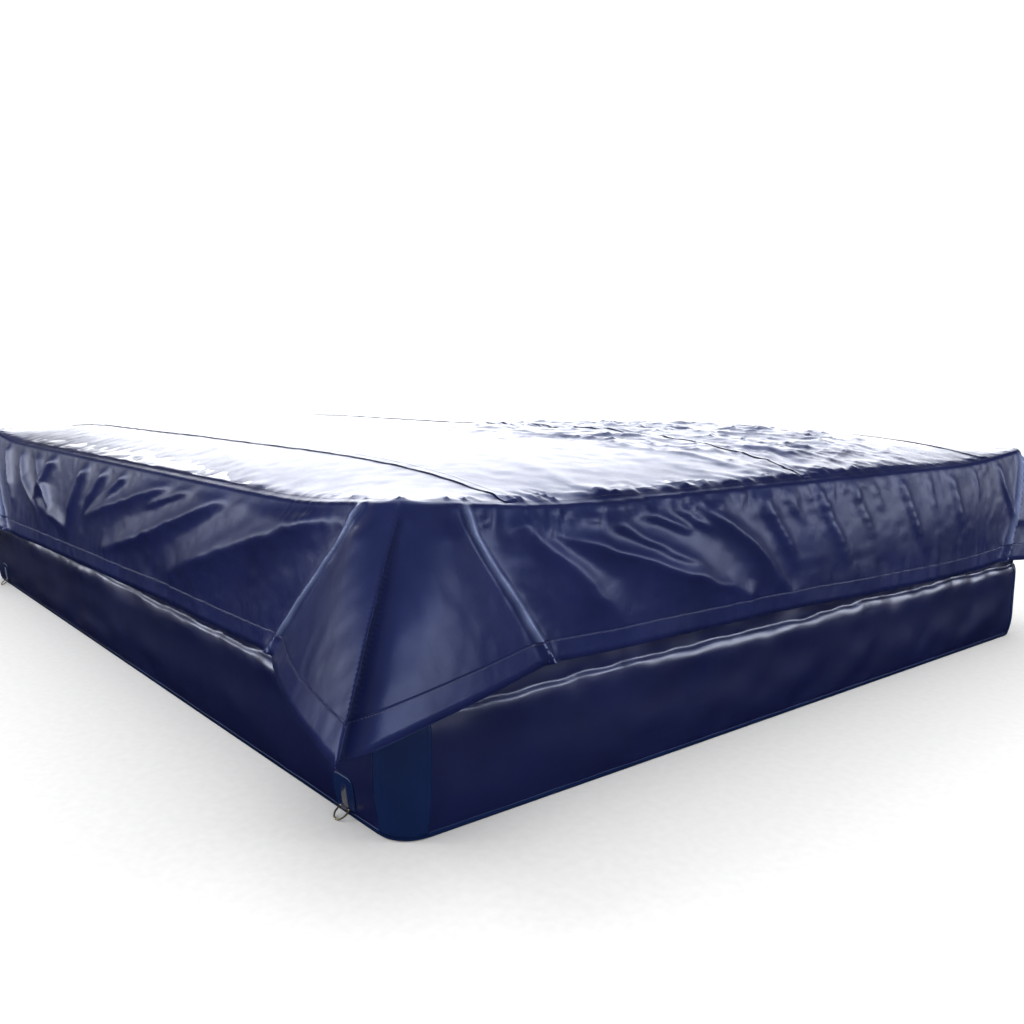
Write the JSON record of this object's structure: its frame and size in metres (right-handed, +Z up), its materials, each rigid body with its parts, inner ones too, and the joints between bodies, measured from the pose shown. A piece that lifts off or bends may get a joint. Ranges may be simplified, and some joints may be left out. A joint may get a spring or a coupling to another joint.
{
  "type": "crash landing mat",
  "caption": "Inflatable crash landing mat: a rounded rectangular air chamber under a loose draped top cover whose skirt hangs over its sides.",
  "frame": {"origin": "middle of the underside, on the floor", "axes": "+Z up, X along the long side, Y along the short side"},
  "size_m": [5.608, 4.608, 1.0975],
  "materials": {
    "base_sheet": "gloss",
    "cover_sheet": "satin",
    "inner_sheet": "satin",
    "webbing": "matte",
    "grip_tape": "matte",
    "ring_steel": "polished",
    "zip_metal": "satin",
    "zip_plastic": "satin"
  },
  "bodies": {
    "chamber": {"anchor_patch_back_left": "base_sheet", "anchor_patch_back_right": "base_sheet", "anchor_patch_front_left": "base_sheet", "anchor_patch_front_right": "base_sheet", "anchor_webbing_back_left": "webbing", "anchor_webbing_back_right": "webbing", "anchor_webbing_front_left": "webbing", "anchor_webbing_front_right": "webbing", "corner_strip_back_left": "base_sheet", "corner_strip_back_right": "base_sheet", "corner_strip_front_left": "base_sheet", "corner_strip_front_right": "base_sheet", "floor_sheet": "base_sheet", "hook_strips": "grip_tape", "inflation_sleeve": "base_sheet", "lower_baffle_1": "inner_sheet", "lower_baffle_2": "inner_sheet", "lower_baffle_3": "inner_sheet", "lower_wall_back": "base_sheet", "lower_wall_front": "base_sheet", "lower_wall_left": "base_sheet", "lower_wall_right": "base_sheet", "middle_sheet": "inner_sheet", "sleeve_collar": "base_sheet", "sleeve_strap": "webbing", "top_sheet": "base_sheet", "upper_baffle_1": "inner_sheet", "upper_baffle_2": "inner_sheet", "upper_baffle_3": "inner_sheet", "upper_wall_back": "base_sheet", "upper_wall_front": "base_sheet", "upper_wall_left": "base_sheet", "upper_wall_right": "base_sheet", "zip_tapes": "webbing", "zip_teeth": "zip_plastic"},
    "cover": {"cover_ear_back_left": "cover_sheet", "cover_ear_back_right": "cover_sheet", "cover_ear_front_left": "cover_sheet", "cover_ear_front_right": "cover_sheet", "cover_seam_tape_1": "cover_sheet", "cover_seam_tape_2": "cover_sheet", "cover_seam_tape_3": "cover_sheet", "cover_skirt_back": "cover_sheet", "cover_skirt_front": "cover_sheet", "cover_skirt_left": "cover_sheet", "cover_skirt_right": "cover_sheet", "cover_strip_1": "cover_sheet", "cover_strip_2": "cover_sheet", "cover_strip_3": "cover_sheet", "cover_strip_4": "cover_sheet", "loop_strips": "grip_tape"},
    "ring_front_left": {"anchor_ring_front_left": "ring_steel"},
    "ring_front_right": {"anchor_ring_front_right": "ring_steel"},
    "ring_back_left": {"anchor_ring_back_left": "ring_steel"},
    "ring_back_right": {"anchor_ring_back_right": "ring_steel"},
    "zip_slider": {"zip_slider": "zip_metal"},
    "zip_puller": {"zip_puller": "zip_metal"},
    "zip_flap": {"zip_flap": "base_sheet"}
  },
  "joints": [
    {"name": "ring_front_left_swing", "type": "hinge", "parent": "chamber", "child": "ring_front_left", "pos_m": [-2.2, -1.99511, 0.03], "axis": [-1, 0, 0], "range_deg": [0, 90]},
    {"name": "ring_front_right_swing", "type": "hinge", "parent": "chamber", "child": "ring_front_right", "pos_m": [2.2, -1.99511, 0.03], "axis": [-1, 0, 0], "range_deg": [0, 90]},
    {"name": "ring_back_left_swing", "type": "hinge", "parent": "chamber", "child": "ring_back_left", "pos_m": [-2.2, 1.99511, 0.03], "axis": [1, 0, 0], "range_deg": [0, 90]},
    {"name": "ring_back_right_swing", "type": "hinge", "parent": "chamber", "child": "ring_back_right", "pos_m": [2.2, 1.99511, 0.03], "axis": [1, 0, 0], "range_deg": [0, 90]},
    {"name": "cover_lift", "type": "slide", "parent": "chamber", "child": "cover", "axis": [0, 0, 1], "range_m": [0, 1.5]},
    {"name": "zip_slide", "type": "slide", "parent": "chamber", "child": "zip_slider", "axis": [1, 0, 0], "range_m": [0, 0.94]},
    {"name": "puller_swing", "type": "hinge", "parent": "zip_slider", "child": "zip_puller", "pos_m": [-1.673, 2.0122, 0.25], "axis": [0, 1, 0], "range_deg": [-80, 80]},
    {"name": "flap_lift", "type": "hinge", "parent": "chamber", "child": "zip_flap", "pos_m": [-1.2, 1.997, 0.315], "axis": [1, 0, 0], "range_deg": [0, 100]}
  ]
}
